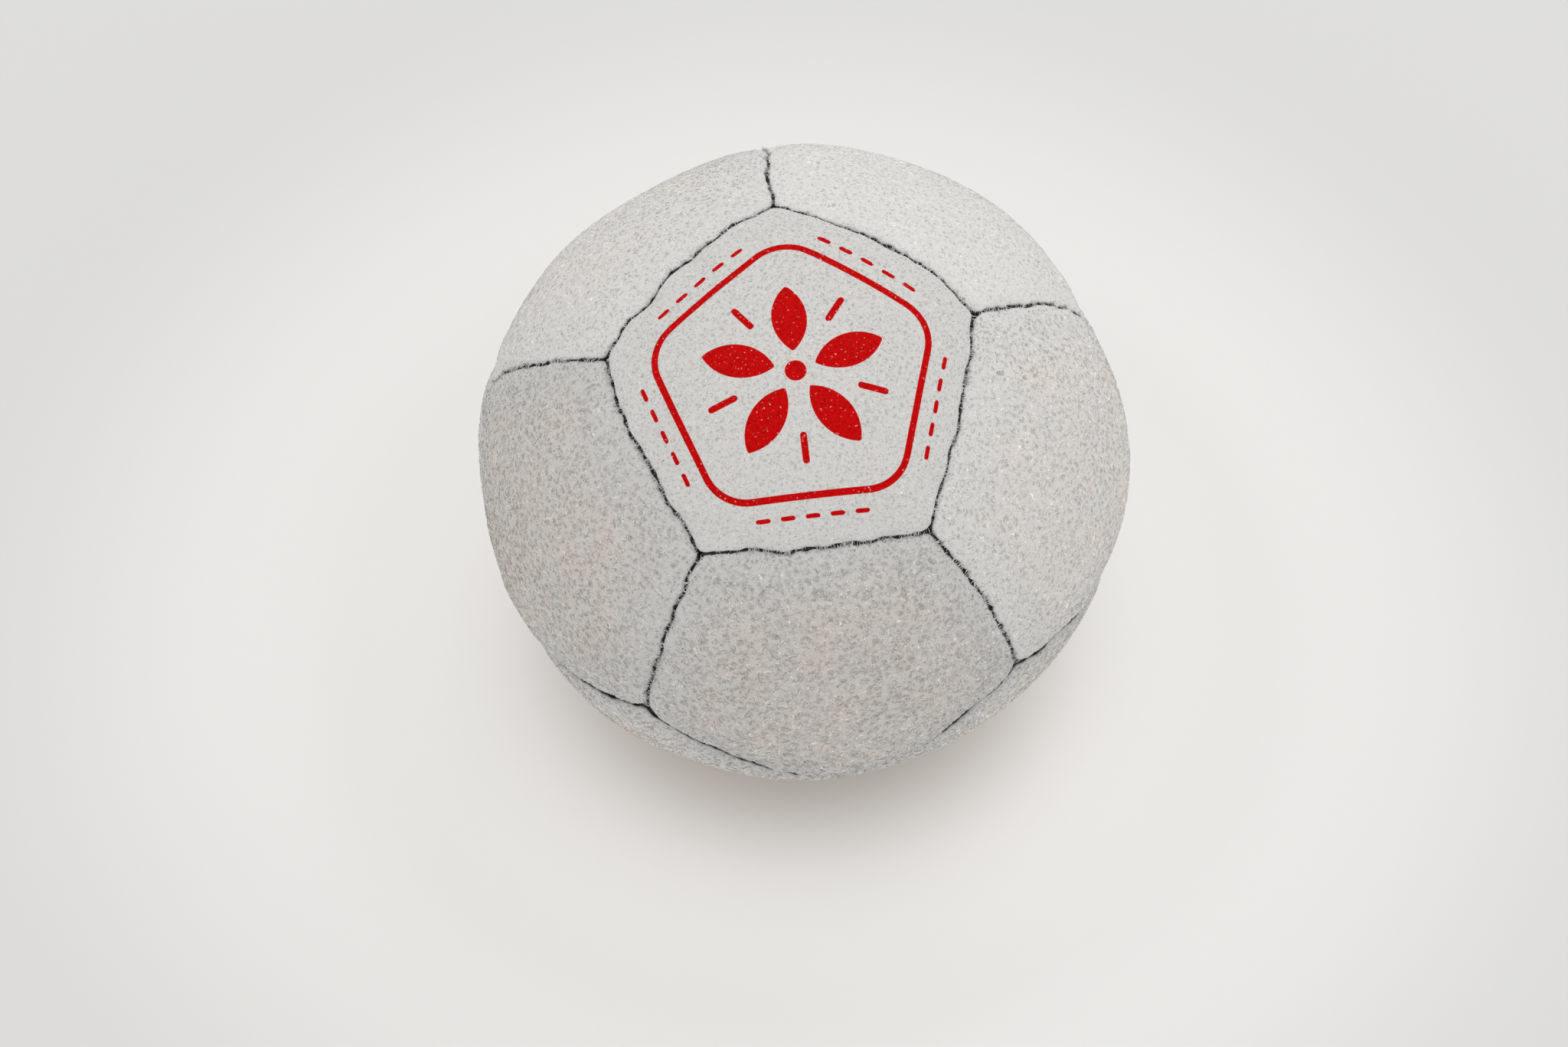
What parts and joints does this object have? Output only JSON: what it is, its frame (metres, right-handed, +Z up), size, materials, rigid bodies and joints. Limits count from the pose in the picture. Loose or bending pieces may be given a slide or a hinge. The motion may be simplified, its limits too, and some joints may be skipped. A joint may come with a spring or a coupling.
{
  "type": "boccia ball",
  "caption": "Soft sewn ball of five-sided pale suede panels with dark seam threads and a granulate filling, for throwing and rolling; one panel carries a red print.",
  "frame": {"origin": "middle of the flat patch that the ball lies on, under the middle of the ball", "axes": "+Z up from the floor, printed panel on top and leaning towards -Y"},
  "size_m": [0.0878, 0.0878, 0.0814],
  "materials": {
    "suede": "pale grey napped suede",
    "printed_suede": "short-napped pale grey suede with a red print",
    "thread": "charcoal sewing thread",
    "granulate": "natural plastic granules"
  },
  "bodies": {
    "root": {"granule_fill": "granulate", "panel_base": "suede", "panel_lower_1": "suede", "panel_lower_2": "suede", "panel_lower_3": "suede", "panel_lower_4": "suede", "panel_lower_5": "suede", "panel_print": "printed_suede", "panel_upper_1": "suede", "panel_upper_2": "suede", "panel_upper_3": "suede", "panel_upper_4": "suede", "panel_upper_5": "suede", "seam_base_1": "thread", "seam_base_2": "thread", "seam_base_3": "thread", "seam_base_4": "thread", "seam_base_5": "thread", "seam_lower_1": "thread", "seam_lower_2": "thread", "seam_lower_3": "thread", "seam_lower_4": "thread", "seam_lower_5": "thread", "seam_middle_01": "thread", "seam_middle_02": "thread", "seam_middle_03": "thread", "seam_middle_04": "thread", "seam_middle_05": "thread", "seam_middle_06": "thread", "seam_middle_07": "thread", "seam_middle_08": "thread", "seam_middle_09": "thread", "seam_middle_10": "thread", "seam_print_1": "thread", "seam_print_2": "thread", "seam_print_3": "thread", "seam_print_4": "thread", "seam_print_5": "thread", "seam_upper_1": "thread", "seam_upper_2": "thread", "seam_upper_3": "thread", "seam_upper_4": "thread", "seam_upper_5": "thread"}
  },
  "joints": []
}
